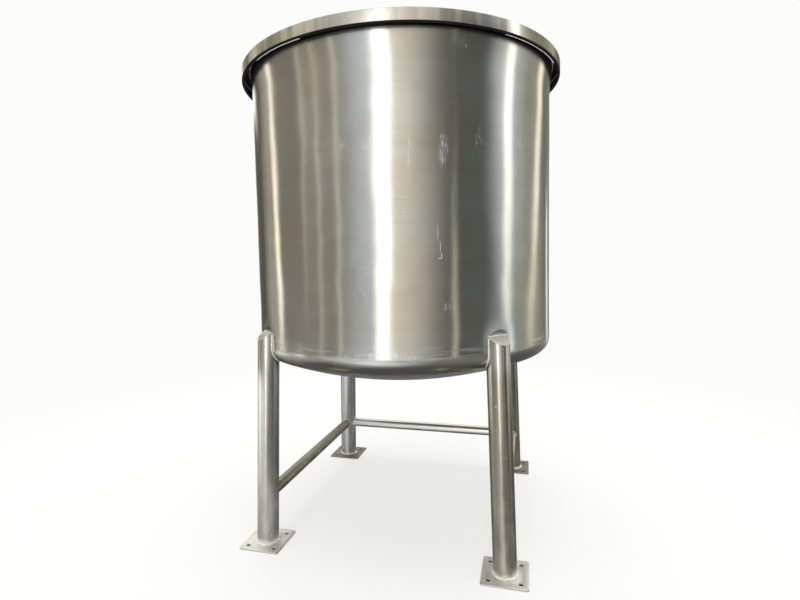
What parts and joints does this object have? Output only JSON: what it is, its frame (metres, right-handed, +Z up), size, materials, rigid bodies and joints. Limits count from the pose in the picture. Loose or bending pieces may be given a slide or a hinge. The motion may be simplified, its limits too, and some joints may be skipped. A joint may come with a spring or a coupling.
{
  "type": "storage tank",
  "caption": "Open-topped stainless steel storage tank with a dished bottom and a turned-down rim, on splayed pipe legs with bolt-down plates and low braces.",
  "frame": {"origin": "on the floor under the tank's axis, at the middle of the four base plates", "axes": "+Z up the tank's axis; -Y towards the side of the leg frame that has no brace; +X to its right"},
  "size_m": [1.224, 1.224, 1.721],
  "materials": {
    "brushed_shell": "rolled stainless sheet, brushed round the tank, semi-gloss",
    "brushed_end": "pressed stainless dished end, polished in swirls",
    "satin_rim": "satin stainless flat bar",
    "satin_pipe": "satin stainless pipe with grinding marks by the welds",
    "ground_cap": "stainless plate ground flat, matt",
    "flat_plate": "cut stainless plate, light satin",
    "weld_metal": "bright weld bead, uneven"
  },
  "bodies": {
    "root": {"shell": "brushed_shell", "dished_end": "brushed_end", "rim_flange": "satin_rim", "rim_hoop": "satin_rim", "front_right_leg": "satin_pipe", "front_right_leg_cap": "ground_cap", "front_right_base_plate": "flat_plate", "front_right_foot_weld": "weld_metal", "back_right_leg": "satin_pipe", "back_right_leg_cap": "ground_cap", "back_right_base_plate": "flat_plate", "back_right_foot_weld": "weld_metal", "back_left_leg": "satin_pipe", "back_left_leg_cap": "ground_cap", "back_left_base_plate": "flat_plate", "back_left_foot_weld": "weld_metal", "front_left_leg": "satin_pipe", "front_left_leg_cap": "ground_cap", "front_left_base_plate": "flat_plate", "front_left_foot_weld": "weld_metal", "right_brace": "satin_pipe", "back_brace": "satin_pipe", "left_brace": "satin_pipe"}
  },
  "joints": []
}
